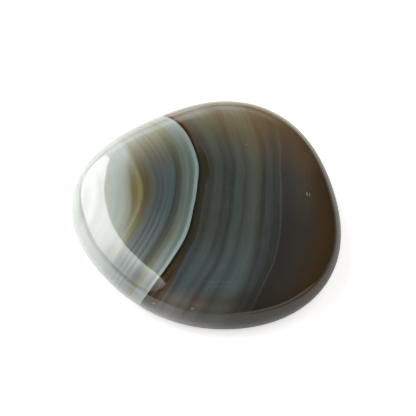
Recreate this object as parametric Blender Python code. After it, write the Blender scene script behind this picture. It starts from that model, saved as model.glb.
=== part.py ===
"""A flat, polished agate pebble, built as one closed solid that rests on its underside.

Units are metres, +Z is up, and the origin is the centre of the bounding box's bottom.
The plan outline is a circle pushed out by a few waves, which make it oval, three-cornered and so on.
Each cross-section is a superellipse: nearly flat faces that roll over into a full, rounded edge.
"""

import math

import bmesh
import bpy

MM = 0.001

# Plan outline
MEAN_RADIUS = 26.8 * MM
OUTLINE_WAVES = (
    # corners, how far each stands out, direction of one of them in degrees
    (2, 0.64 * MM, 157.0),
    (3, 1.25 * MM, 184.0),
    (4, 0.46 * MM, 160.0),
    (5, 0.11 * MM, 28.0),
)

# Cross-section, measured from the widest level of the edge
EDGE_ABOVE = 5.6 * MM  # rise of the rounded edge to the upper face
CROWN = 1.0 * MM  # further rise of the upper face at its middle
EDGE_BELOW = 6.4 * MM  # drop of the rounded edge to the underside
FOOT_WEAR = 0.15 * MM  # height taken off the underside, which leaves the flat foot
FULLNESS = 7.5  # superellipse exponent: higher is a flatter face and a blunter edge
FULLNESS_SWING = 3.0  # how much blunter the thick side of the stone is, and how much keener the thin side
THICK_SIDE = 240.0  # direction of the thick side in degrees

# Faceting
SEGMENTS = 96  # facets round the outline
RINGS_ABOVE = 18  # rings from the crown to the widest level
RINGS_BELOW = 13  # rings from the widest level to the foot
SHARP_CORNER = 40.0  # degrees; a corner that turns further shades as sharp, and a worn pebble has none

STONE_COLOUR = (0.115, 0.110, 0.098, 1.0)
STONE_ROUGHNESS = 0.06


def outline_radius(direction):
    """Distance from the outline's pole to the widest level, in a direction in radians."""
    waves = (
        height * math.cos(corners * (direction - math.radians(corner_direction)))
        for corners, height, corner_direction in OUTLINE_WAVES
    )
    return MEAN_RADIUS + sum(waves)


def fullness(direction):
    """Superellipse exponent of the cross-section in a direction in radians."""
    return FULLNESS + FULLNESS_SWING * math.cos(direction - math.radians(THICK_SIDE))


def upper_point(direction, turn):
    """Share of the radius, and height over the widest level, at a turn from 0 (crown) to 1 (edge)."""
    slope = 0.5 * math.pi * turn**2
    share = math.sin(slope) ** (2.0 / fullness(direction))
    return share, EDGE_ABOVE * math.cos(slope) + CROWN * (1.0 - share**2)


def lower_point(direction, turn):
    """The same below the widest level, at a turn from 0 (edge) to 1 (rim of the flat foot)."""
    foot_slope = math.acos(1.0 - FOOT_WEAR / EDGE_BELOW)
    slope = 0.5 * math.pi + (foot_slope - 0.5 * math.pi) * turn
    share = math.sin(slope) ** (2.0 / fullness(direction))
    return share, -EDGE_BELOW * math.cos(slope)


def outline_centre(directions):
    """Middle of the outline's bounding box, seen from its pole."""
    across = [outline_radius(d) * math.cos(d) for d in directions]
    along = [outline_radius(d) * math.sin(d) for d in directions]
    return (min(across) + max(across)) / 2, (min(along) + max(along)) / 2


def add_ring(shape, directions, section, turn):
    """Adds one level ring of vertices, cut from every cross-section at the same turn."""
    centre_x, centre_y = outline_centre(directions)
    widest_level = EDGE_BELOW - FOOT_WEAR
    ring = []
    for direction in directions:
        share, height = section(direction, turn)
        reach = share * outline_radius(direction)
        x = reach * math.cos(direction) - centre_x
        y = reach * math.sin(direction) - centre_y
        ring.append(shape.verts.new((x, y, widest_level + height)))
    return ring


def bridge(shape, inner, outer):
    """Joins two neighbouring rings with a band of quads."""
    count = len(inner)
    for i in range(count):
        j = (i + 1) % count
        shape.faces.new((inner[i], outer[i], outer[j], inner[j]))


def build_stone():
    """The whole pebble: a fan at the crown, bands of quads over the edge, and one flat foot."""
    directions = [2.0 * math.pi * i / SEGMENTS for i in range(SEGMENTS)]
    shape = bmesh.new()
    above = [
        add_ring(shape, directions, upper_point, (i + 1) / RINGS_ABOVE) for i in range(RINGS_ABOVE)
    ]
    below = [
        add_ring(shape, directions, lower_point, (i + 1) / RINGS_BELOW) for i in range(RINGS_BELOW)
    ]
    rings = above + below
    for inner, outer in zip(rings, rings[1:]):
        bridge(shape, inner, outer)

    centre_x, centre_y = outline_centre(directions)
    crown_height = EDGE_BELOW - FOOT_WEAR + EDGE_ABOVE + CROWN
    crown = shape.verts.new((-centre_x, -centre_y, crown_height))
    top_ring = rings[0]
    for i in range(SEGMENTS):
        shape.faces.new((crown, top_ring[i], top_ring[(i + 1) % SEGMENTS]))
    shape.faces.new(reversed(rings[-1]))

    mesh = bpy.data.meshes.new("agate_stone")
    shape.to_mesh(mesh)
    shape.free()
    mesh.shade_smooth()
    mesh.set_sharp_from_angle(angle=math.radians(SHARP_CORNER))
    stone = bpy.data.objects.new("agate_stone", mesh)
    bpy.context.scene.collection.objects.link(stone)
    return stone


def polished_agate():
    """Grey-brown banded chalcedony under a high polish, as one plain colour."""
    material = bpy.data.materials.new("polished_agate")
    material.use_nodes = True
    shader = material.node_tree.nodes["Principled BSDF"]
    shader.inputs["Base Color"].default_value = STONE_COLOUR
    shader.inputs["Roughness"].default_value = STONE_ROUGHNESS
    shader.inputs["Metallic"].default_value = 0.0
    return material


def clear_scene():
    for obj in list(bpy.data.objects):
        bpy.data.objects.remove(obj)


clear_scene()
build_stone().data.materials.append(polished_agate())
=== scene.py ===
"""Looks of the flat agate stone: a polished pebble of banded chalcedony on a white table.

Units are metres, +Z is up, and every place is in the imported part's own frame. The stone's bands and
its other markings are placed in millimetres.
"""

import math

import bpy
import numpy as np
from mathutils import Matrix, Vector


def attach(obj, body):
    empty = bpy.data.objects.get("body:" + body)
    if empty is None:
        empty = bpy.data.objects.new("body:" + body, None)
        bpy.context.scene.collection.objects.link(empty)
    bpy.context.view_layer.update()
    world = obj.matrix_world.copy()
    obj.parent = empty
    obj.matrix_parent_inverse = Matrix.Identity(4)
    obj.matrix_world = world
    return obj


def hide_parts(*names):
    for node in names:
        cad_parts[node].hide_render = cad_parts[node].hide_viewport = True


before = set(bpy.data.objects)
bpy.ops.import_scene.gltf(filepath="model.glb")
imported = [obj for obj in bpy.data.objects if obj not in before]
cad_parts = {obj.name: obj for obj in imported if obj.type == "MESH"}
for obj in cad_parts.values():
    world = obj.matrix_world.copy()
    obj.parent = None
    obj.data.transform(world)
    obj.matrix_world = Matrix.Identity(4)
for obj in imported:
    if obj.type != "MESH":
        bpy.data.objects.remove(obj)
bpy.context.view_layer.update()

MM = 0.001

# ---------------------------------------------------------------- the stone's shape
# The same formula as the part's own solid, cut much finer.
MEAN_RADIUS = 26.8 * MM
OUTLINE_WAVES = (
    # corners, how far each stands out, direction of one of them in degrees
    (2, 0.64 * MM, 157.0),
    (3, 1.25 * MM, 184.0),
    (4, 0.46 * MM, 160.0),
    (5, 0.11 * MM, 28.0),
)
EDGE_ABOVE = 5.6 * MM  # rise of the rounded edge to the upper face
CROWN = 1.0 * MM  # further rise of the upper face at its middle
EDGE_BELOW = 6.4 * MM  # drop of the rounded edge to the underside
FOOT_WEAR = 0.15 * MM  # height taken off the underside, which leaves the flat foot
FULLNESS = 7.5  # superellipse exponent: higher is a flatter face and a blunter edge
FULLNESS_SWING = 3.0  # how much blunter the thick side is, and how much keener the thin side
THICK_SIDE = 240.0  # direction of the thick side in degrees
CROWN_HEIGHT = EDGE_BELOW - FOOT_WEAR + EDGE_ABOVE + CROWN

OUTLINE_POINTS = 96  # the part centres itself on the box of this many outline points
SEGMENTS = 460  # columns of faces round the outline
RINGS = 190  # rings of vertices from the crown to the middle of the foot
TRACE_ABOVE = 1500  # points that trace a cross-section above its widest level
TRACE_BELOW = 600  # and below it

PIT = (20.59 * MM, 0.03 * MM, 11.77 * MM)  # middle of a tiny hollow near the right rim
PIT_RADIUS = 0.8 * MM
PIT_DEPTH = 0.08 * MM


def outline_radius(direction):
    """How far the widest level reaches from the outline's pole, for directions in radians."""
    waves = (
        height * np.cos(corners * (direction - math.radians(corner_direction)))
        for corners, height, corner_direction in OUTLINE_WAVES
    )
    return MEAN_RADIUS + sum(waves)


def outline_centre():
    """Middle of the outline's bounding box, seen from its pole."""
    directions = np.arange(OUTLINE_POINTS) * 2.0 * math.pi / OUTLINE_POINTS
    across = outline_radius(directions) * np.cos(directions)
    along = outline_radius(directions) * np.sin(directions)
    return (across.min() + across.max()) / 2, (along.min() + along.max()) / 2


def section(direction):
    """Share of the radius and height over the widest level, from the crown to the middle of the foot."""
    fullness = FULLNESS + FULLNESS_SWING * math.cos(direction - math.radians(THICK_SIDE))
    slope = np.linspace(0.0, math.pi / 2, TRACE_ABOVE) ** 2 / (math.pi / 2)
    share_above = np.sin(slope) ** (2.0 / fullness)
    height_above = EDGE_ABOVE * np.cos(slope) + CROWN * (1.0 - share_above**2)
    foot_slope = math.acos(1.0 - FOOT_WEAR / EDGE_BELOW)
    slope = np.linspace(math.pi / 2, foot_slope, TRACE_BELOW)[1:]
    share_below = np.sin(slope) ** (2.0 / fullness)
    height_below = -EDGE_BELOW * np.cos(slope)
    share = np.concatenate([share_above, share_below, [0.0]])
    height = np.concatenate([height_above, height_below, height_below[-1:]])
    return share, height


def ring_points(centre_x, centre_y):
    """Rings of vertices, evenly spaced along every cross-section from the crown round to the foot."""
    spread = np.linspace(0.0, 1.0, RINGS + 2)[1:-1]
    columns = []
    for i in range(SEGMENTS):
        direction = 2.0 * math.pi * i / SEGMENTS
        share, height = section(direction)
        reach = share * outline_radius(direction)
        length = np.concatenate([[0.0], np.cumsum(np.hypot(np.diff(reach), np.diff(height)))])
        travelled = spread * length[-1]
        r = np.interp(travelled, length, reach)
        z = np.interp(travelled, length, height) + EDGE_BELOW - FOOT_WEAR
        x = r * math.cos(direction) - centre_x
        y = r * math.sin(direction) - centre_y
        columns.append(np.stack([x, y, z], axis=-1))
    return np.stack(columns, axis=1).reshape(-1, 3)


def press_pit(points):
    """Lowers the points round the pit's middle into a small round hollow."""
    away = np.linalg.norm(points - np.array(PIT), axis=1) / PIT_RADIUS
    points[:, 2] -= PIT_DEPTH * np.clip(1.0 - away**2, 0.0, 1.0) ** 2


def ring_faces(crown, foot):
    """Quads between neighbouring rings, and a fan at each end."""
    neighbours = [(i, (i + 1) % SEGMENTS) for i in range(SEGMENTS)]
    last_ring = (RINGS - 1) * SEGMENTS
    faces = []
    for a in range(0, last_ring, SEGMENTS):
        b = a + SEGMENTS
        faces.extend((a + i, b + i, b + j, a + j) for i, j in neighbours)
    for i, j in neighbours:
        faces.append((crown, i, j))
        faces.append((last_ring + j, last_ring + i, foot))
    return faces


def stone_mesh():
    """The whole stone's mesh, and its points."""
    centre_x, centre_y = outline_centre()
    points = ring_points(centre_x, centre_y)
    press_pit(points)
    crown = len(points)
    foot = crown + 1
    ends = [[-centre_x, -centre_y, CROWN_HEIGHT], [-centre_x, -centre_y, 0.0]]
    points = np.vstack([points, ends])
    mesh = bpy.data.meshes.new("polished_stone")
    mesh.from_pydata(points.tolist(), [], ring_faces(crown, foot))
    mesh.update()
    mesh.shade_smooth()
    return mesh, points


# ---------------------------------------------------------------- how the bands run
# The bands stand like bent sheets through the stone. Each guide is one sheet's line on the level
# of the crown: its place across the stone at each of the levels along it, all in millimetres.
# The band coordinate counts from guide to guide: on each it is the guide's place at HOME_LEVEL.
LEVELS = (22, 16, 11, 6, 1, -4, -10, -15, -22)
HOME_LEVEL = LEVELS.index(1)
GUIDES = (
    (-30.0, -26.0, -23.5, -21.8, -21.0, -21.3, -23.5, -26.0, -30.0),  # in the white end
    (-24.0, -19.0, -16.2, -15.3, -14.7, -14.55, -16.4, -19.6, -24.0),  # left side of the ochre lens
    (-22.5, -18.2, -15.8, -14.0, -12.7, -13.2, -15.9, -18.8, -22.8),  # thin straw line
    (-21.0, -16.6, -14.2, -11.9, -10.65, -11.5, -14.0, -16.8, -21.0),  # right side of the umber lens
    (-16.0, -10.9, -7.9, -6.0, -6.05, -6.85, -8.75, -11.35, -15.6),  # end of the slate sheets
    (-13.0, -8.2, -5.9, -4.8, -4.7, -5.35, -7.1, -9.8, -13.7),  # olive line
    (-8.3, -4.15, -2.15, -1.15, -1.45, -2.15, -3.5, -5.95, -10.3),  # right edge of the white line
    (-6.9, -2.8, -0.9, 0.35, 0.05, -0.5, -1.65, -3.65, -7.0),  # right side of the dark line
    (2.6, 4.05, 5.25, 6.0, 5.65, 5.25, 4.3, 3.0, -0.7),  # a dark sheet right of the middle
    (9.8, 11.1, 11.9, 12.0, 11.7, 11.5, 10.75, 10.05, 8.0),  # the next dark sheet
    (14.4, 15.6, 15.8, 15.5, 15.5, 15.4, 14.9, 14.0, 11.2),  # thin pale line
    (25.0, 26.0, 26.5, 26.8, 27.0, 27.0, 26.8, 26.3, 24.5),  # right rim
)
SLANT = 0.36  # the sheets lean: millimetres to the left per millimetre down


def guide_line(places, along):
    """The guide's smooth curve through its places, and straight on beyond the last ones."""
    levels = np.array(LEVELS[::-1], dtype=float)
    values = np.array(places[::-1])
    slopes = np.gradient(values, levels)
    k = np.clip(np.searchsorted(levels, along) - 1, 0, len(levels) - 2)
    step = levels[k + 1] - levels[k]
    t = (along - levels[k]) / step
    start = (1 + 2 * t) * (1 - t) ** 2 * values[k] + t * (1 - t) ** 2 * step * slopes[k]
    end = t**2 * (3 - 2 * t) * values[k + 1] + t**2 * (t - 1) * step * slopes[k + 1]
    below = values[0] + slopes[0] * (along - levels[0])
    above = values[-1] + slopes[-1] * (along - levels[-1])
    return np.where(t < 0, below, np.where(t > 1, above, start + end))


def band_coordinate(points):
    """Which sheet each point lies in: the place where its sheet crosses the home level."""
    x, y, z = points.T / MM
    across = x + SLANT * (CROWN_HEIGHT / MM - z)
    homes = [guide[HOME_LEVEL] for guide in GUIDES]
    lines = [guide_line(guide, y) for guide in GUIDES]
    band = homes[0] + across - lines[0]
    for k in range(len(GUIDES) - 1):
        share = (across - lines[k]) / (lines[k + 1] - lines[k])
        between = homes[k] + share * (homes[k + 1] - homes[k])
        band = np.where(across >= lines[k], between, band)
    return np.where(across >= lines[-1], homes[-1] + across - lines[-1], band)


def build_stone():
    """The stone, with each vertex's place in the banding, along the stone and in height, in mm."""
    mesh, points = stone_mesh()
    places = {"band": band_coordinate(points), "along": points[:, 1] / MM, "height": points[:, 2] / MM}
    for name, values in places.items():
        attribute = mesh.attributes.new(name, "FLOAT", "POINT")
        attribute.data.foreach_set("value", values.astype(np.float32))
    stone = bpy.data.objects.new("polished_stone", mesh)
    bpy.context.scene.collection.objects.link(stone)
    return stone


# ---------------------------------------------------------------- node helper
MOST_STOPS = 32  # a colour ramp holds no more


class Graph:
    """Short ways to add the few kinds of shader node this scene uses."""

    def __init__(self, tree):
        self.tree = tree

    def feed(self, socket, value):
        """Sets the socket to a constant, or joins another node's socket to it."""
        if isinstance(value, (int, float, tuple)):
            socket.default_value = value
        else:
            self.tree.links.new(value, socket)

    def math(self, operation, a, b=0.0):
        """One step of arithmetic."""
        node = self.tree.nodes.new("ShaderNodeMath")
        node.operation = operation
        self.feed(node.inputs[0], a)
        self.feed(node.inputs[1], b)
        return node.outputs[0]

    def ramp(self, value, low, high, at_low=0.0, at_high=1.0, curve="SMOOTHSTEP"):
        """at_low up to low, at_high from high on, and a gradual change between."""
        node = self.tree.nodes.new("ShaderNodeMapRange")
        node.interpolation_type = curve
        self.feed(node.inputs["Value"], value)
        self.feed(node.inputs["From Min"], low)
        self.feed(node.inputs["From Max"], high)
        self.feed(node.inputs["To Min"], at_low)
        self.feed(node.inputs["To Max"], at_high)
        return node.outputs["Result"]

    def blend(self, axes, parts):
        """The sum of each axis times its share."""
        total = 0.0
        for axis, share in zip(axes, parts):
            total = self.math("ADD", total, self.math("MULTIPLY", axis, share))
        return total

    def plateau(self, value, low, rise, fall, high):
        """1 between rise and fall, 0 outside low and high."""
        rising = self.ramp(value, low, rise)
        falling = self.ramp(value, fall, high, 1.0, 0.0)
        return self.math("MULTIPLY", rising, falling)

    def product(self, *values):
        """The values multiplied together."""
        total = values[0]
        for value in values[1:]:
            total = self.math("MULTIPLY", total, value)
        return total

    def rising(self, value, low, high, power):
        """0 up to low, 1 from high on; the higher the power, the later it rises."""
        return self.math("POWER", self.ramp(value, low, high, curve="LINEAR"), power)

    def bands(self, place, stops):
        """The colours of a list of (millimetres, colour name), changing evenly between neighbours."""
        if len(stops) > MOST_STOPS:
            half = len(stops) // 2
            beyond = self.math("GREATER_THAN", place, stops[half][0])
            return self.mix(beyond, self.bands(place, stops[: half + 1]), self.bands(place, stops[half:]))
        start = stops[0][0]
        length = stops[-1][0] - start
        node = self.tree.nodes.new("ShaderNodeValToRGB")
        elements = node.color_ramp.elements
        while len(elements) < len(stops):
            elements.new(0.5)
        for element, (mm, colour) in zip(elements, stops):
            element.position = (mm - start) / length
            element.color = (*COLOURS[colour], 1.0)
        self.feed(node.inputs["Fac"], self.ramp(place, start, start + length, curve="LINEAR"))
        return node.outputs["Color"]

    def mix(self, share, base, other, kind="MIX"):
        """base, turned by that share into other, or into their product. Both may be colour names."""
        node = self.tree.nodes.new("ShaderNodeMix")
        node.data_type = "RGBA"
        node.blend_type = kind
        factor, colour_a, colour_b = (s for s in node.inputs if s.enabled)
        self.feed(factor, share)
        for socket, colour in ((colour_a, base), (colour_b, other)):
            self.feed(socket, (*COLOURS[colour], 1.0) if isinstance(colour, str) else colour)
        return next(s for s in node.outputs if s.enabled)

    def tint(self, share, colour, factors):
        """The colour, its red, green and blue turned by that share into so many times as much."""
        return self.mix(share, colour, (*factors, 1.0), "MULTIPLY")

    def scale(self, colour, amount):
        """The colour times a number."""
        node = self.tree.nodes.new("ShaderNodeVectorMath")
        node.operation = "SCALE"
        self.feed(node.inputs[0], colour)
        self.feed(node.inputs["Scale"], amount)
        return node.outputs[0]

    def point(self, x, y, z=0.0):
        """A vector made of its three parts."""
        node = self.tree.nodes.new("ShaderNodeCombineXYZ")
        for socket, value in zip(node.inputs, (x, y, z)):
            self.feed(socket, value)
        return node.outputs[0]

    def noise(self, where, scale, detail=2.0, rough=0.5):
        """Smooth noise about 0, mostly within -0.5 to 0.5."""
        node = self.tree.nodes.new("ShaderNodeTexNoise")
        self.feed(node.inputs["Vector"], where)
        node.inputs["Scale"].default_value = scale
        node.inputs["Detail"].default_value = detail
        node.inputs["Roughness"].default_value = rough
        return self.math("SUBTRACT", node.outputs["Fac"], 0.5)

    def attribute(self, name):
        """A value that the mesh carries at its vertices."""
        node = self.tree.nodes.new("ShaderNodeAttribute")
        node.attribute_name = name
        return node.outputs["Fac"]

    def split(self, vector):
        """A vector's three parts."""
        node = self.tree.nodes.new("ShaderNodeSeparateXYZ")
        self.tree.links.new(vector, node.inputs[0])
        return node.outputs[0], node.outputs[1], node.outputs[2]


# ---------------------------------------------------------------- polished agate
COLOURS = {  # red, green and blue
    # the white end, the grey-green sheets and the white line
    "milk": (0.53, 0.57, 0.555),
    "chalk": (0.43, 0.445, 0.41),
    "frost": (0.385, 0.435, 0.41),
    "pearl": (0.31, 0.345, 0.30),
    "cream": (0.265, 0.255, 0.165),
    "bone": (0.235, 0.24, 0.175),
    "mist": (0.215, 0.25, 0.235),
    "dew": (0.165, 0.195, 0.185),
    "haze": (0.136, 0.166, 0.156),
    "celadon": (0.102, 0.130, 0.110),
    "sage": (0.082, 0.104, 0.088),
    "ice": (0.180, 0.265, 0.267),
    "snow": (0.300, 0.360, 0.360),
    # the warm lenses
    "straw": (0.180, 0.170, 0.075),
    "ochre": (0.140, 0.125, 0.055),
    "umber": (0.076, 0.067, 0.026),
    "moss": (0.071, 0.079, 0.057),
    "olive": (0.155, 0.157, 0.058),
    "lichen": (0.158, 0.166, 0.088),
    # the slate sheets
    "slate": (0.056, 0.068, 0.067),
    "harbour": (0.057, 0.077, 0.079),
    "plum": (0.050, 0.058, 0.048),
    "seam": (0.036, 0.042, 0.036),
    "flint": (0.076, 0.087, 0.078),
    "taupe": (0.086, 0.088, 0.074),
    # the dark sheets
    "ink": (0.009, 0.006, 0.001),
    "bark": (0.019, 0.019, 0.011),
    "soot": (0.026, 0.032, 0.026),
    "smoke": (0.030, 0.033, 0.026),
    "iron": (0.036, 0.042, 0.034),
    "steel": (0.044, 0.051, 0.041),
    "fern": (0.046, 0.060, 0.052),
    "cloud": (0.055, 0.066, 0.053),
    "dusk": (0.040, 0.044, 0.044),
    "thread": (0.060, 0.063, 0.058),
    "pewter": (0.032, 0.035, 0.033),
    "peat": (0.032, 0.031, 0.028),
    "loam": (0.042, 0.039, 0.032),
    "clay": (0.049, 0.040, 0.028),
    "tan": (0.047, 0.026, 0.0085),
    # the rounded edge, painted lighter and warmer with the glow of light that enters it from the side
    "shell": (0.475, 0.515, 0.485),
    "linen": (0.410, 0.445, 0.410),
    "plaster": (0.370, 0.405, 0.370),
    "fog": (0.340, 0.370, 0.335),
    "wax": (0.315, 0.335, 0.260),
    "glaze": (0.345, 0.385, 0.375),
    "vapour": (0.260, 0.300, 0.290),
    "cinnamon": (0.052, 0.019, 0.002),
    "amber": (0.120, 0.060, 0.015),
    "honey": (0.160, 0.125, 0.068),
    "parchment": (0.220, 0.210, 0.145),
    "putty": (0.172, 0.160, 0.110),
    "silver": (0.210, 0.213, 0.160),
    "sand": (0.215, 0.200, 0.145),
    "biscuit": (0.192, 0.158, 0.108),
    "toffee": (0.158, 0.110, 0.056),
    "copper": (0.162, 0.104, 0.046),
    "chestnut": (0.130, 0.082, 0.036),
    "walnut": (0.107, 0.068, 0.030),
    "cocoa": (0.082, 0.054, 0.023),
    "coffee": (0.045, 0.026, 0.005),
    # stains
    "rust": (0.044, 0.029, 0.011),
    "maroon": (0.030, 0.009, 0.001),
    "hazel": (0.058, 0.045, 0.031),
    "ember": (0.090, 0.048, 0.014),
    "resin": (0.026, 0.016, 0.001),
    "chip": (0.20, 0.18, 0.15),
    # surroundings: the reflected paper painted bright and painted in shade, and the sky's cool and warm
    # light
    "bright paper": (0.85, 0.85, 0.85),
    "shaded paper": (0.54, 0.55, 0.54),
    "cool light": (1.0, 1.0, 1.0),
    "warm light": (1.0, 0.87, 0.68),
}
LEFT_HEART = (  # halfway along the stone, from the white end to the white line
    (-25.0, "milk"),
    (-23.4, "chalk"),
    (-22.0, "milk"),
    (-20.8, "frost"),
    (-19.4, "chalk"),
    (-18.2, "frost"),
    (-16.3, "pearl"),
    (-15.1, "bone"),
    (-14.5, "ochre"),
    (-13.6, "ochre"),
    (-13.1, "straw"),
    (-12.9, "straw"),
    (-12.5, "ochre"),
    (-12.1, "umber"),
    (-11.2, "umber"),
    (-10.6, "moss"),
    (-10.1, "flint"),
    (-9.5, "slate"),
    (-8.4, "slate"),
    (-7.6, "harbour"),
    (-6.2, "harbour"),
    (-5.95, "seam"),
    (-4.95, "plum"),
    (-4.5, "sage"),
    (-4.1, "sage"),
    (-3.65, "celadon"),
    (-3.45, "celadon"),
    (-3.1, "sage"),
    (-2.7, "sage"),
    (-2.45, "celadon"),
    (-2.05, "ice"),
    (-1.4, "ice"),
)
LEFT_REAR_WITH_GLOW = (  # the same sheets near the back rim, where the lenses have faded, painted paler with the glow of light through the thin rim
    (-25.0, "milk"),
    (-17.0, "shell"),
    (-14.0, "linen"),
    (-12.6, "pearl"),
    (-11.6, "cream"),
    (-10.2, "bone"),
    (-6.0, "bone"),
    (-5.5, "olive"),
    (-4.9, "olive"),
    (-4.1, "dew"),
    (-1.4, "mist"),
)
LEFT_FRONT = (  # and near the front rim
    (-25.0, "milk"),
    (-18.0, "shell"),
    (-16.0, "linen"),
    (-15.0, "fog"),
    (-11.7, "fog"),
    (-10.6, "mist"),
    (-9.3, "dew"),
    (-8.0, "dew"),
    (-7.4, "haze"),
    (-6.5, "haze"),
    (-6.0, "flint"),
    (-5.6, "taupe"),
    (-5.3, "taupe"),
    (-4.85, "celadon"),
    (-4.65, "lichen"),
    (-4.2, "lichen"),
    (-4.0, "dew"),
    (-3.6, "mist"),
    (-3.1, "mist"),
    (-2.7, "dew"),
    (-2.4, "dew"),
    (-2.05, "snow"),
    (-1.4, "snow"),
)
LEFT_GLOWING_EDGE_BEHIND = (  # and in the rounded edge behind, with its painted glow
    (-25.0, "milk"),
    (-18.5, "shell"),
    (-14.5, "shell"),
    (-11.5, "linen"),
    (-9.0, "plaster"),
    (-7.0, "fog"),
    (-5.7, "fog"),
    (-5.1, "wax"),
    (-4.4, "wax"),
    (-4.1, "fog"),
    (-3.4, "fog"),
    (-2.4, "glaze"),
    (-1.4, "glaze"),
)
LEFT_GLOWING_EDGE_IN_FRONT = (  # and low down in the edge in front, with its painted glow
    (-25.0, "milk"),
    (-18.0, "shell"),
    (-14.0, "frost"),
    (-12.0, "glaze"),
    (-9.0, "vapour"),
    (-7.0, "mist"),
    (-5.6, "mist"),
    (-5.0, "parchment"),
    (-4.4, "parchment"),
    (-4.0, "vapour"),
    (-2.4, "vapour"),
    (-1.4, "glaze"),
)
RIGHT = (  # halfway along the stone, from the dark line beside the white one to the right rim
    (-1.7, "ink"),
    (-1.2, "ink"),
    (-0.95, "bark"),
    (-0.4, "bark"),
    (0.05, "smoke"),
    (0.3, "iron"),
    (0.7, "smoke"),
    (1.2, "smoke"),
    (1.6, "iron"),
    (2.1, "steel"),
    (3.1, "steel"),
    (3.45, "iron"),
    (3.85, "smoke"),
    (4.5, "iron"),
    (5.0, "iron"),
    (5.5, "soot"),
    (5.9, "iron"),
    (6.4, "fern"),
    (7.15, "fern"),
    (7.6, "steel"),
    (8.0, "iron"),
    (8.4, "steel"),
    (8.9, "fern"),
    (9.9, "cloud"),
    (10.3, "cloud"),
    (11.0, "steel"),
    (11.55, "smoke"),
    (12.1, "soot"),
    (12.5, "dusk"),
    (13.5, "dusk"),
    (14.0, "pewter"),
    (15.15, "iron"),
    (15.3, "thread"),
    (15.42, "thread"),
    (15.6, "iron"),
    (15.85, "peat"),
    (16.6, "peat"),
    (19.0, "loam"),
    (21.0, "clay"),
    (24.0, "tan"),
)
RIGHT_GLOWING_EDGE_BEHIND = (  # the same sheets in the rounded edge behind, with the warm glow of light through it painted in
    (-1.7, "cinnamon"),
    (-1.1, "cinnamon"),
    (-0.75, "amber"),
    (-0.3, "honey"),
    (0.2, "honey"),
    (1.0, "putty"),
    (2.6, "silver"),
    (3.4, "silver"),
    (4.6, "sand"),
    (5.8, "biscuit"),
    (6.7, "sand"),
    (8.5, "sand"),
    (10.9, "biscuit"),
    (11.5, "toffee"),
    (12.4, "toffee"),
    (13.2, "copper"),
    (16.0, "copper"),
    (18.0, "chestnut"),
    (20.0, "walnut"),
    (23.0, "cocoa"),
    (26.0, "coffee"),
)
WHITE_EDGE = -1.6  # where the white line ends and the dark line starts
EDGE_SOFTNESS = 0.09
BACK_RIM = 17.5  # place along the stone where the sheets by the white line have their back colours
BACK_DELAY = 3.0  # the higher this power, the closer to the rim they turn into them
FRONT_RIM = -16.0
FRONT_DELAY = 2.0

# How many times sooner than these the sheets further left turn: the band coordinate up to which the
# number holds, the one from which on it is 1, and the number.
WHITE_SOONER = (-14.0, -12.0, 1.31)
LENS_SOONER = (-12.0, -5.5, 1.35)
FRONT_SOONER = (-13.0, -10.5, 1.45)

# Stretches along the stone: the places where each sets in and where it holds.
LEFT_BACK_STRETCH = (0.0, 8.0)
RIGHT_BACK_STRETCH = (0.0, 10.0)
FRONT_STRETCH = (0.0, -8.0)
BROWN_STRETCH = (0.0, 6.0)
GREY_STRETCH = (3.5, 8.5)
WAVE_STRETCH = (2.0, -10.0)
BLUE_STRETCH = (-8.0, -17.0)
PALE_STRETCH = (-12.0, -18.0)
DARK_STRETCH = (3.0, -10.0)
HAZEL_STRETCH = (6.5, 14.0)
RUST_STRETCH = (-11.5, -19.0)

# The same for heights.
LEFT_GLOW_BEHIND = (12.75, 11.35)
LEFT_GLOW_IN_FRONT = (11.0, 9.2)
RIGHT_GLOW_IN_FRONT = (12.0, 11.0)
WAVE_FADE = (11.9, 10.5)
HAZEL_HEIGHTS = (12.2, 12.6)
BROWN_HEIGHTS = (11.0, 11.7, 12.3, 12.75)  # here also where it starts to end and has ended

# On the right the rounded edge behind, with its painted glow, has heights that change between two sheets.
GLOW_SHEETS = (11.0, 16.5)
GLOW_START = (12.8, 12.45)  # where it sets in, at the one sheet and at the other
GLOW_FULL = (11.3, 10.0)  # and where it holds

# Zones of sheets: the band coordinates where each sets in, holds, starts to end and has ended.
UMBER_LENS = (-12.9, -12.2, -11.1, -10.6)
LEFT_BROWNED = (-12.5, -11.5, -5.5, -4.0)
GREYED_SLATES = (-10.4, -9.4, -6.6, -6.0)
FINE_SLATES = (-10.4, -9.2, -7.0, -6.2)
NEAR_SHEETS = (-0.5, 0.3, 11.5, 12.8)
NEAR_HALVED = (3.0, 6.0)  # between these the near sheets' tints fall to half
NEAREST_END = (5.5, 8.5)  # and between these the lighter tint of painted glow in the edge ends
RIGHT_BROWNED = (0.5, 4.0, 10.5, 12.5)
PALE_SHEET = (3.3, 3.9, 5.3, 5.8)
ROSY_SHEETS = (4.0, 6.0, 8.5, 10.5)
MIDDLE_SHEETS = (8.5, 10.5, 13.5, 16.0)
FAR_SHEETS = (12.0, 16.0, 21.0, 25.0)
CLEAR_SHEETS = (-14.5, -11.5, 15.5, 16.5)  # from the ochre lens to the pale thread
HAZEL_STAIN = (-1.2, -0.95, 0.6, 1.8)
RUST_STAIN = (-1.25, -1.0, -0.3, 0.0)
RESIN_LENS = (-0.7, -0.3, 0.35, 0.6)
RESIN_PLACES = (1.5, 4.5, 8.0, 12.5)  # the same for the lens along the stone
UMBER_PLACES = (-12.0, -9.5, -6.5, -2.5)  # and for the warmer stretch of the umber lens

# Tints: how many times as much red, green and blue.
# the brown tints and the lighter, deeper and redder ones colour the painted glow in the edge
LEFT_BROWN = (1.0, 0.94, 0.82)
RIGHT_BROWN = (1.0, 0.87, 0.68)
WARMER_UMBER = (1.0, 0.94, 0.70)
GREYER_SLATE = (1.05, 0.89, 0.82)
BLUER = (1.3, 1.45, 1.9)
PALER = (1.25, 1.25, 1.3)
LIGHTER = (1.7, 1.32, 1.1)
DEEPER = (0.85, 0.68, 0.65)
REDDER = (1.08, 0.77, 0.73)
DARKER = (0.67, 0.61, 0.57)

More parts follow.
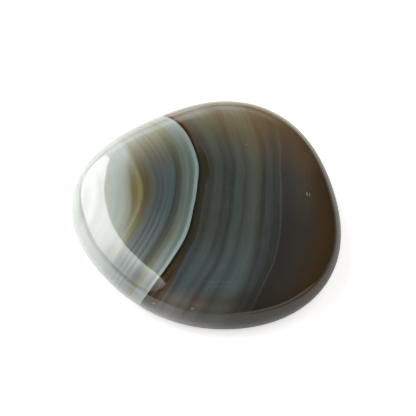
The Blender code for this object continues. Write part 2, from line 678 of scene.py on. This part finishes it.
# The slates are made of fine sheets, as even as waves.
WAVE_LENGTH = 1.0
WAVE_PEAK = -8.85  # band coordinate of a light one
WAVE_BEHIND = 0.04  # how much lighter and darker than the rest they are behind
WAVE_IN_FRONT = 0.19
WAVE_LOW = 0.5  # share of that left low in the edge

HAZEL_COVER = 0.85  # how far each stain hides the sheets under it
RESIN_COVER = 0.9
RUST_LINES = (
    # band coordinate of its middle, half its width where it is full, half its whole width,
    # place along the stone where it sets in, place where it holds, how far it hides the sheets, colour
    (-0.62, 0.12, 0.32, -16.5, -20.0, 0.85, "maroon"),
    (-0.18, 0.07, 0.20, -17.5, -21.5, 0.60, "ember"),
)


def painted_edge_glow(graph, height, along):
    """How much of the edge's colours, with their painted glow of light through the edge, a place has,
    behind and in front. They start lower down in front.
    """
    glow = graph.ramp(height, *LEFT_GLOW_BEHIND)
    behind = graph.product(glow, graph.ramp(along, *LEFT_BACK_STRETCH))
    glow = graph.ramp(height, *LEFT_GLOW_IN_FRONT)
    in_front = graph.product(glow, graph.ramp(along, *FRONT_STRETCH))
    return behind, in_front


def browned_by_glow(graph, colour, height, along, zone, factors):
    """The colour, with a brown tinge of painted glow from light through the edge, in that zone just within
    the edge behind.
    """
    inside = graph.plateau(height, *BROWN_HEIGHTS)
    share = graph.product(inside, zone, graph.ramp(along, *BROWN_STRETCH))
    return graph.tint(share, colour, factors)


def slate_waves(graph, colour, band, along, height):
    """The slates' fine sheets, clearest in front and fainter down the edge."""
    phase = graph.math("MULTIPLY", graph.math("SUBTRACT", band, WAVE_PEAK), 2.0 * math.pi / WAVE_LENGTH)
    slates = graph.plateau(band, *FINE_SLATES)
    depth = graph.ramp(along, *WAVE_STRETCH, WAVE_BEHIND, WAVE_IN_FRONT)
    strength = graph.product(slates, depth, graph.ramp(height, *WAVE_FADE, 1.0, WAVE_LOW))
    wave = graph.product(graph.math("COSINE", phase), strength)
    return graph.scale(colour, graph.math("ADD", 1.0, wave))


def left_side(graph, band, along, height):
    """The white end, the warm lenses and the slate sheets, up to the white line."""
    # the further left a sheet is, the closer to the middle it turns into its rim colours; behind, these
    # hold a painted glow of light through the thin rim
    sooner_behind = graph.ramp(band, *WHITE_SOONER, 1.0)
    sooner_behind = graph.product(sooner_behind, graph.ramp(band, *LENS_SOONER, 1.0, "LINEAR"))
    sooner_in_front = graph.ramp(band, *FRONT_SOONER, 1.0)
    to_back = graph.rising(graph.math("MULTIPLY", along, sooner_behind), 0.0, BACK_RIM, BACK_DELAY)
    to_front = graph.rising(graph.math("MULTIPLY", along, sooner_in_front), 0.0, FRONT_RIM, FRONT_DELAY)
    colour = graph.bands(band, LEFT_HEART)
    colour = graph.mix(to_back, colour, graph.bands(band, LEFT_REAR_WITH_GLOW))
    colour = graph.mix(to_front, colour, graph.bands(band, LEFT_FRONT))
    # the umber lens is warmer towards the front, and the slates are greyer towards the back
    umber = graph.plateau(band, *UMBER_LENS)
    umber = graph.product(umber, graph.plateau(along, *UMBER_PLACES))
    colour = graph.tint(umber, colour, WARMER_UMBER)
    slates = graph.plateau(band, *GREYED_SLATES)
    slates = graph.product(slates, graph.ramp(along, *GREY_STRETCH))
    colour = graph.tint(slates, colour, GREYER_SLATE)
    # the rounded edge's colours, with the glow of light through the edge painted in
    painted_glow_behind, painted_glow_in_front = painted_edge_glow(graph, height, along)
    colour = graph.mix(painted_glow_behind, colour, graph.bands(band, LEFT_GLOWING_EDGE_BEHIND))
    colour = graph.mix(painted_glow_in_front, colour, graph.bands(band, LEFT_GLOWING_EDGE_IN_FRONT))
    colour = slate_waves(graph, colour, band, along, height)
    # a brown tinge of painted glow just within the edge behind
    glow_brown_zone = graph.plateau(band, *LEFT_BROWNED)
    return browned_by_glow(graph, colour, height, along, glow_brown_zone, LEFT_BROWN)


def right_side(graph, band, along, height):
    """The dark sheets, from the dark line to the right rim."""
    colour = graph.bands(band, RIGHT)
    # towards the front the near sheets turn blue, and one of them paler still
    near = graph.plateau(band, *NEAR_SHEETS)
    near = graph.product(near, graph.ramp(band, *NEAR_HALVED, 1.0, 0.5))
    colour = graph.tint(graph.product(near, graph.ramp(along, *BLUE_STRETCH)), colour, BLUER)
    pale = graph.plateau(band, *PALE_SHEET)
    pale = graph.product(pale, graph.ramp(along, *PALE_STRETCH))
    colour = graph.tint(pale, colour, PALER)
    # in the edge in front, where the glow of light through the edge is painted, the near sheets are lighter
    # and warmer, and those up to the middle redder
    painted_glow_in_front = graph.ramp(height, *RIGHT_GLOW_IN_FRONT)
    painted_glow_in_front = graph.product(painted_glow_in_front, graph.ramp(along, *FRONT_STRETCH))
    nearest = graph.product(near, painted_glow_in_front, graph.ramp(band, *NEAREST_END, 1.0, 0.0))
    colour = graph.tint(nearest, colour, LIGHTER)
    middle = graph.plateau(band, *MIDDLE_SHEETS)
    colour = graph.tint(graph.product(middle, painted_glow_in_front), colour, DEEPER)
    rosy = graph.plateau(band, *ROSY_SHEETS)
    colour = graph.tint(graph.product(rosy, painted_glow_in_front), colour, REDDER)
    # the far sheets darken from the middle of the stone to its front
    far = graph.plateau(band, *FAR_SHEETS)
    far = graph.product(far, graph.ramp(along, *DARK_STRETCH))
    colour = graph.tint(far, colour, DARKER)
    # the edge behind, with its painted glow, sets in lower down, and more slowly, in the far sheets
    start = graph.ramp(band, *GLOW_SHEETS, *GLOW_START)
    full = graph.ramp(band, *GLOW_SHEETS, *GLOW_FULL)
    painted_glow_behind = graph.ramp(height, start, full, curve="LINEAR")
    painted_glow_behind = graph.product(painted_glow_behind, graph.ramp(along, *RIGHT_BACK_STRETCH))
    colour = graph.mix(painted_glow_behind, colour, graph.bands(band, RIGHT_GLOWING_EDGE_BEHIND))
    # a brown tinge of painted glow just within the edge behind
    glow_brown_zone = graph.plateau(band, *RIGHT_BROWNED)
    return browned_by_glow(graph, colour, height, along, glow_brown_zone, RIGHT_BROWN)


def iron_stains(graph, colour, band, along, height):
    """The stains in the dark sheets close to the white line."""
    # a dull one at the back of the upper face
    behind = graph.plateau(band, *HAZEL_STAIN)
    behind = graph.product(behind, graph.ramp(along, *HAZEL_STRETCH, 0.0, HAZEL_COVER))
    behind = graph.product(behind, graph.ramp(height, *HAZEL_HEIGHTS))
    colour = graph.mix(behind, colour, "hazel")
    # a long dark brown lens
    lens = graph.plateau(band, *RESIN_LENS)
    lens = graph.product(lens, graph.plateau(along, *RESIN_PLACES))
    colour = graph.mix(graph.math("MULTIPLY", lens, RESIN_COVER), colour, "resin")
    # a rusty one at the front rim, with two lines
    in_front = graph.ramp(along, *RUST_STRETCH)
    in_front = graph.product(in_front, graph.plateau(band, *RUST_STAIN))
    colour = graph.mix(in_front, colour, "rust")
    for middle, full, reach, start, end, cover, name in RUST_LINES:
        line = graph.plateau(band, middle - reach, middle - full, middle + full, middle + reach)
        line = graph.product(line, graph.ramp(along, start, end, 0.0, cover))
        colour = graph.mix(line, colour, name)
    return colour


CHIPS = (
    # band, along, height, half length across, half length along
    (20.9, 0.15, 11.8, 0.17, 0.55),
    (21.45, 0.05, 11.6, 0.10, 0.45),
    (8.83, 11.74, 12.45, 0.13, 0.15),
    (-9.82, 9.59, 12.34, 0.14, 0.25),
    (-0.34, -22.88, 8.23, 0.20, 0.25),
    (6.23, -24.80, 9.76, 0.18, 0.22),
)
CHIP_CORE = 0.3  # square of the distance, in half lengths, up to which a chip is full
CHIP_END = 1.6  # and from which there is nothing of it
CHIP_COVER = 0.8  # how far it hides the sheets
SCRATCHES = (
    # band at the left end, at the right end, along
    (5.8, 9.3, -20.25),
    (6.5, 9.3, -21.15),
)
SCRATCH_REACH = 0.2  # half a scratch's width
SCRATCH_FADE = 0.5  # how far its ends fade both ways
SCRATCH_COVER = 0.12


def chips(graph, band, along, height):
    """1 in the small pale chips of the polish, 0 elsewhere."""
    total = 0.0
    for *centre, across, length in CHIPS:
        square = 0.0
        for axis, middle, half in zip((band, along, height), centre, (across, length, length)):
            away = graph.math("DIVIDE", graph.math("SUBTRACT", axis, middle), half)
            square = graph.math("ADD", square, graph.math("MULTIPLY", away, away))
        total = graph.math("MAXIMUM", total, graph.ramp(square, CHIP_CORE, CHIP_END, 1.0, 0.0))
    return total


def scratches(graph, band, along):
    """1 in the fine scratches near the front rim, 0 elsewhere."""
    total = 0.0
    for left, right, place in SCRATCHES:
        line = graph.plateau(along, place - SCRATCH_REACH, place, place, place + SCRATCH_REACH)
        ends = (left - SCRATCH_FADE, left + SCRATCH_FADE, right - SCRATCH_FADE, right + SCRATCH_FADE)
        run = graph.plateau(band, *ends)
        total = graph.math("MAXIMUM", total, graph.product(line, run))
    return total


# A pace is about how many times a random pattern changes in a millimetre, and a depth how far its
# light and dark places are apart.
WANDER = 0.30  # the width in millimetres within which the sheets wander
WANDER_PACE = (0.25, 0.12)  # across and along the stone
THIN_PACE = 4.2  # of the thin sheets
THIN_DEPTH = 0.5
THIN_LEAST = 0.35  # share of that depth in the white end and beyond the pale thread
BROAD_PACE = 0.9  # of the broader ones
BROAD_DEPTH = 0.14
RUN_PACE = 0.03  # of both along the stone
CLOUD_PACE = 0.3
CLOUD_DEPTH = 0.12

REFRACTION = 1.54
COAT_ROUGHNESS = 0.012
COAT_RUBBED = 0.02  # how much rougher it is where fingers have rubbed it most
COAT_CHIPPED = 0.3  # and in the chips
RUBBED_PACE = 0.35
RUBBED_PART = (-0.15, 0.25)  # values of the pattern between which the rubbing grows
BODY_ROUGHNESS = (0.07, 0.10)  # the least and the most
BODY_PACE = 0.6
BODY_PART = (-0.2, 0.2)
POLISH_WAVES = 0.004 * MM  # how deep the polish waves
POLISH_PACE = 0.5


def wandering(graph, band, along):
    """The band coordinate, which wanders slowly, so that no sheet is quite even."""
    across_pace, along_pace = WANDER_PACE
    slow = graph.point(graph.math("MULTIPLY", band, across_pace), graph.math("MULTIPLY", along, along_pace))
    return graph.math("ADD", band, graph.math("MULTIPLY", graph.noise(slow, 1.0, 1.0), WANDER))


def grain(graph, band, along):
    """How light each place is: every sheet is itself many thin ones, and they are a little clouded."""
    sheet_place = graph.point(band, graph.math("MULTIPLY", along, RUN_PACE))
    thin = graph.math("MULTIPLY", graph.noise(sheet_place, THIN_PACE, 2.0, 0.6), THIN_DEPTH)
    broad = graph.math("MULTIPLY", graph.noise(sheet_place, BROAD_PACE, 1.0), BROAD_DEPTH)
    clear = graph.plateau(band, *CLEAR_SHEETS)
    clear = graph.math("ADD", THIN_LEAST, graph.math("MULTIPLY", clear, 1.0 - THIN_LEAST))
    thin = graph.product(thin, clear)
    cloud = graph.math("MULTIPLY", graph.noise(graph.point(band, along), CLOUD_PACE, 3.0), CLOUD_DEPTH)
    return graph.math("ADD", 1.0, graph.math("ADD", graph.math("ADD", thin, broad), cloud))


def polish(graph, shader, band, along, chipped):
    """Nearly even, duller in the chips and a little where fingers have rubbed it."""
    place = graph.point(band, along)
    rubbed = graph.ramp(graph.noise(place, RUBBED_PACE, 4.0), *RUBBED_PART, 0.0, COAT_RUBBED)
    dull = graph.math("MULTIPLY", chipped, COAT_CHIPPED)
    coat = graph.math("ADD", COAT_ROUGHNESS, graph.math("ADD", rubbed, dull))
    graph.feed(shader.inputs["Coat Roughness"], coat)
    body = graph.ramp(graph.noise(place, BODY_PACE, 3.0), *BODY_PART, *BODY_ROUGHNESS)
    graph.feed(shader.inputs["Roughness"], body)
    shader.inputs["Coat Weight"].default_value = 1.0
    shader.inputs["IOR"].default_value = REFRACTION
    bump = graph.tree.nodes.new("ShaderNodeBump")
    bump.inputs["Strength"].default_value = 1.0
    bump.inputs["Distance"].default_value = POLISH_WAVES
    graph.feed(bump.inputs["Height"], graph.noise(place, POLISH_PACE, 3.0))
    for normal in ("Normal", "Coat Normal"):
        graph.feed(shader.inputs[normal], bump.outputs[0])


def polished_agate():
    """The stone's material: the colours of its sheets, with the glow of light through its edge painted in,
    their flaws and the polish.
    """
    material = bpy.data.materials.new("polished_agate")
    material.use_nodes = True
    graph = Graph(material.node_tree)
    shader = material.node_tree.nodes["Principled BSDF"]
    true_band = graph.attribute("band")
    along = graph.attribute("along")
    band = wandering(graph, true_band, along)
    beyond_white = graph.ramp(band, WHITE_EDGE - EDGE_SOFTNESS, WHITE_EDGE + EDGE_SOFTNESS)
    height = graph.attribute("height")
    left = left_side(graph, band, along, height)
    right = right_side(graph, band, along, height)
    right = iron_stains(graph, right, band, along, height)
    colour = graph.mix(beyond_white, left, right)
    colour = graph.scale(colour, grain(graph, band, along))
    chipped = chips(graph, true_band, along, height)
    colour = graph.mix(graph.math("MULTIPLY", chipped, CHIP_COVER), colour, "chip")
    scratched = scratches(graph, true_band, along)
    colour = graph.mix(graph.math("MULTIPLY", scratched, SCRATCH_COVER), colour, "chip")
    graph.feed(shader.inputs["Base Color"], colour)
    polish(graph, shader, true_band, along, chipped)
    return material


stone = build_stone()
stone.data.materials.append(polished_agate())
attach(stone, "root")
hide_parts("agate_stone")


# ---------------------------------------------------------------- camera
ELEVATION = math.radians(58.0)  # how steeply the camera looks down
DISTANCE = 0.30
TARGET = Vector((0.0006, 0.00044, 0.0060))  # the place it looks at
LENS = 127.0  # focal length in millimetres
SENSOR = 36.0  # width in millimetres
NEAREST = 0.01  # how close the camera starts to see


def place_camera():
    """In front of the stone and above it."""
    camera_data = bpy.data.cameras.new("camera")
    camera_data.lens = LENS
    camera_data.sensor_width = SENSOR
    camera_data.clip_start = NEAREST
    camera = bpy.data.objects.new("camera", camera_data)
    bpy.context.scene.collection.objects.link(camera)
    back = Vector((0.0, -math.cos(ELEVATION), math.sin(ELEVATION)))
    camera.location = TARGET + DISTANCE * back
    camera.rotation_euler = back.to_track_quat("Z", "Y").to_euler()
    bpy.context.scene.camera = camera


place_camera()


# ---------------------------------------------------------------- table
TABLE_HALF = 3.0
UNDERLAY_DROP = 0.0002  # the reflected table lies this far under the seen one
TABLE_GLOW = 0.5
PAPER_WHITE = (0.88, 0.88, 0.88, 1.0)
PAPER_ROUGHNESS = 0.9
PAPER_SHINE = 0.1
GLOW_WHITE = (1.0, 1.0, 1.0, 1.0)
YELLOWED = (1.0, 1.0, 0.85)
TO_WINDOW = (-0.87, 0.50)  # level heading from the stone to the middle of the window

# The reflected table's painted light and shade, from the stone's middle: where each change starts, and
# where it is full.
BRIGHT_PART = (-0.022, -0.002)  # towards the window
GLOWING_PART = (-0.010, 0.035)  # towards the window
GLOW_MOST = 0.35
YELLOW_PART = (0.0, 0.06)  # to the back
DIM_RIGHT = (0.045, 0.085)  # to the right
DIM_LIGHT = 0.35  # share of the light that is left there
DIM_BACK = (0.035, 0.09)  # to the back
DIM_BACK_RIGHT = (-0.03, 0.0)  # and to the right
DIM_BACK_LOSS = 0.5
SHADE_EDGE = (0.0250, 0.0295)  # distances between which the stone's shade ends
SHADE_RIGHT = (0.008, 0.018)  # to the right
SHADE_LOSS = 0.8


def flat_square(name, height, material):
    """A wide level square for the stone to lie on."""
    half = TABLE_HALF
    mesh = bpy.data.meshes.new(name)
    corners = [(-half, -half, height), (half, -half, height), (half, half, height), (-half, half, height)]
    mesh.from_pydata(corners, [], [(0, 1, 2, 3)])
    mesh.materials.append(material)
    square = bpy.data.objects.new(name, mesh)
    bpy.context.scene.collection.objects.link(square)
    return square


def paper(name, glow):
    """White paper. The glow lifts its shadows."""
    material = bpy.data.materials.new(name)
    material.use_nodes = True
    shader = material.node_tree.nodes["Principled BSDF"]
    shader.inputs["Base Color"].default_value = PAPER_WHITE
    shader.inputs["Roughness"].default_value = PAPER_ROUGHNESS
    shader.inputs["Specular IOR Level"].default_value = PAPER_SHINE
    shader.inputs["Emission Color"].default_value = GLOW_WHITE
    shader.inputs["Emission Strength"].default_value = glow
    return material


def shaded_paper():
    """Paper with painted light and shade: it glows to the left and behind, is painted in shade to the front
    right and painted dark far to the right.

    Behind the stone it is yellower, and far behind to the right it is painted dimmer too. Next to the
    stone's right side the stone's shadow is painted on it.
    """
    material = paper("reflected_paper", 0.0)
    graph = Graph(material.node_tree)
    shader = material.node_tree.nodes["Principled BSDF"]
    x, y, _ = graph.split(material.node_tree.nodes.new("ShaderNodeNewGeometry").outputs["Position"])
    towards_window = graph.blend((x, y), TO_WINDOW)
    # painted light towards the window and painted shade away from it
    bright = graph.ramp(towards_window, *BRIGHT_PART)
    colour = graph.mix(bright, "shaded paper", "bright paper")
    far_right = graph.ramp(x, *DIM_RIGHT, 1.0, DIM_LIGHT)
    # the stone's shadow, painted beside its right side
    squares = graph.math("ADD", *(graph.math("MULTIPLY", axis, axis) for axis in (x, y)))
    close = graph.ramp(graph.math("SQRT", squares), *SHADE_EDGE, 1.0, 0.0)
    shade = graph.product(close, graph.ramp(x, *SHADE_RIGHT, 0.0, SHADE_LOSS))
    colour = graph.tint(graph.ramp(y, *YELLOW_PART), colour, YELLOWED)
    far_back = graph.ramp(y, *DIM_BACK, 0.0, DIM_BACK_LOSS)
    far_back = graph.product(far_back, graph.ramp(x, *DIM_BACK_RIGHT))
    out_of_shade = graph.math("SUBTRACT", 1.0, shade)
    light = graph.product(far_right, out_of_shade, graph.math("SUBTRACT", 1.0, far_back))
    graph.feed(shader.inputs["Base Color"], graph.scale(colour, light))
    glow = graph.ramp(towards_window, *GLOWING_PART, 0.0, GLOW_MOST)
    glow = graph.product(glow, graph.math("SUBTRACT", 1.0, far_back))
    graph.feed(shader.inputs["Emission Strength"], glow)
    return material


def place_table():
    """One table for the camera, and one that lights the stone and shows in its polish."""
    table = flat_square("table", 0.0, paper("white_paper", TABLE_GLOW))
    table.visible_glossy = False
    table.visible_diffuse = False
    table.visible_shadow = False
    underlay = flat_square("table_reflected", -UNDERLAY_DROP, shaded_paper())
    underlay.visible_camera = False


# ---------------------------------------------------------------- window and sky
WINDOW_GAP = 0.6  # how far the window stands from the stone
WINDOW_CORNERS = (  # (along the wall, up), from the low back corner
    (1.12, 0.38),
    (0.88, 0.19),
    (0.55, 0.10),
    (0.17, 0.33),
    (-0.10, 0.25),
    (-0.42, 0.21),
    (-0.57, 0.35),
    (-0.57, 0.70),
    (-0.46, 1.24),
    (-0.24, 1.80),
    (0.02, 2.03),
    (0.25, 2.15),
    (0.56, 1.76),
    (0.95, 1.68),
    (1.15, 1.35),
    (1.28, 0.85),
)
WINDOW_LIGHT = (2.9, 3.9)  # radiance in front and behind
WINDOW_CHANGE = (-0.4, 0.7)  # places along the wall between which it changes
WINDOW_END = (-0.55, 0.25)  # and between which it also falls towards the front end
WINDOW_LEFT_OVER = 0.32  # share of it left at that end


def place_window():
    """A bright window to the left, dimmer towards its front end. The polish reflects it."""
    mesh = bpy.data.meshes.new("window")
    corners = [(-WINDOW_GAP, along, up) for along, up in WINDOW_CORNERS]
    mesh.from_pydata(corners, [], [tuple(range(len(corners)))])
    material = bpy.data.materials.new("window")
    material.use_nodes = True
    tree = material.node_tree
    tree.nodes.clear()
    graph = Graph(tree)
    _, y, _ = graph.split(tree.nodes.new("ShaderNodeNewGeometry").outputs["Position"])
    emission = tree.nodes.new("ShaderNodeEmission")
    brightness = graph.ramp(y, *WINDOW_CHANGE, *WINDOW_LIGHT)
    end = graph.ramp(y, *WINDOW_END, WINDOW_LEFT_OVER, 1.0, "LINEAR")
    graph.feed(emission.inputs["Strength"], graph.product(brightness, end))
    output = tree.nodes.new("ShaderNodeOutputMaterial")
    tree.links.new(emission.outputs[0], output.inputs["Surface"])
    mesh.materials.append(material)
    pane = bpy.data.objects.new("window", mesh)
    bpy.context.scene.collection.objects.link(pane)


FILL_PLACE = (0.5, -0.4, 1.2)
FILL_SIDE = 1.4
FILL_RADIANCE = 1.9


def place_fill():
    """A broad dim lamp overhead, to the front right. It doesn't show in the polish."""
    lamp = bpy.data.lights.new("fill", "AREA")
    lamp.size = FILL_SIDE
    lamp.energy = FILL_RADIANCE * math.pi * FILL_SIDE**2
    fill = bpy.data.objects.new("fill", lamp)
    fill.location = FILL_PLACE
    fill.rotation_euler = Vector(FILL_PLACE).to_track_quat("Z", "Y").to_euler()
    fill.visible_glossy = False
    bpy.context.scene.collection.objects.link(fill)


# Parts of the room: a level heading from the stone, how squarely a direction points along it where
# the part sets in and where it holds, and its radiance there.
WALL = ((-0.20, 0.98), 0.80, 0.97, 0.6)
SHELF = ((-0.30, 0.95), 0.95, 0.99, 0.9)
HAZE = ((-0.60, -0.80), 0.50, 0.97, 0.30)
WARMTH = ((0.50, -0.85), -0.3, 0.5, 1.0)  # the last is the share of warm light
LEFT_RISE = ((-0.95, 0.30), 0.92, 1.0, 0.12)  # and here it is how much higher the foot reaches
RIGHT_RISE = ((0.60, -0.80), 0.72, 0.95, 0.22)

# Heights in the room, as sines of the angle above the horizon.
CEILING_HEIGHTS = (0.0, 0.9)
CEILING_LIGHT = (0.05, 0.09)  # radiance at the first height and at the second
WALL_HEIGHTS = (0.02, 0.12, 0.20, 0.36)
SHELF_HEIGHTS = (0.20, 0.28, 0.38, 0.48)
HAZE_END = (0.6, 0.9)
FOOT_END = (-0.03, 0.04)  # how far round its top the foot's light ends
FOOT_TOP = (-0.05, 0.07)  # its top away from the window and towards it
FOOT_LIGHT = (0.6, 1.2)  # its radiance away from the window and towards it
FOOT_TURN = (0.42, 0.75)  # how squarely a direction points to the window where the top changes
LIGHT_TURN = (-0.25, 0.3)  # and where the radiance does


def studio_sky():
    """A dim room with a pale foot, which stands up on the window's side and to the front right.

    Behind the stone there are a low pale wall and a shelf over it, and to the front left a haze. The
    light from the front right is warm.
    """
    world = bpy.data.worlds.new("studio")
    bpy.context.scene.world = world
    world.use_nodes = True
    tree = world.node_tree
    graph = Graph(tree)
    x, y, z = graph.split(tree.nodes.new("ShaderNodeTexCoord").outputs["Generated"])
    level = graph.math("SQRT", graph.math("SUBTRACT", 1.0, graph.math("MULTIPLY", z, z)))

    def facing(heading):
        """How squarely a direction points along that level heading, 1 for exactly."""
        return graph.math("DIVIDE", graph.blend((x, y), heading), level)

    def towards(heading, start, full, most):
        """0 away from that heading, and rising to most in the directions close to it."""
        return graph.ramp(facing(heading), start, full, 0.0, most)

    ceiling = graph.ramp(z, *CEILING_HEIGHTS, *CEILING_LIGHT)
    wall = graph.plateau(z, *WALL_HEIGHTS)
    wall = graph.product(wall, towards(*WALL))
    shelf = graph.plateau(z, *SHELF_HEIGHTS)
    shelf = graph.product(shelf, towards(*SHELF))
    # the foot, and how high up it reaches
    glow = graph.ramp(facing(TO_WINDOW), *LIGHT_TURN, *FOOT_LIGHT)
    top = graph.ramp(facing(TO_WINDOW), *FOOT_TURN, *FOOT_TOP)
    left_rise = towards(*LEFT_RISE)
    right_rise = towards(*RIGHT_RISE)
    top = graph.math("ADD", top, graph.math("ADD", left_rise, right_rise))
    over = graph.math("SUBTRACT", z, top)
    foot = graph.product(glow, graph.ramp(over, *FOOT_END, 1.0, 0.0))
    haze = towards(*HAZE)
    haze = graph.product(haze, graph.ramp(z, *HAZE_END, 1.0, 0.0))
    room = graph.math("ADD", ceiling, graph.math("ADD", wall, shelf))
    room = graph.math("ADD", room, graph.math("ADD", foot, haze))
    background = tree.nodes["Background"]
    graph.feed(background.inputs["Strength"], room)
    warmth = towards(*WARMTH)
    graph.feed(background.inputs["Color"], graph.mix(warmth, "cool light", "warm light"))


place_table()
place_window()
place_fill()
studio_sky()
bpy.context.scene.view_settings.view_transform = "Standard"
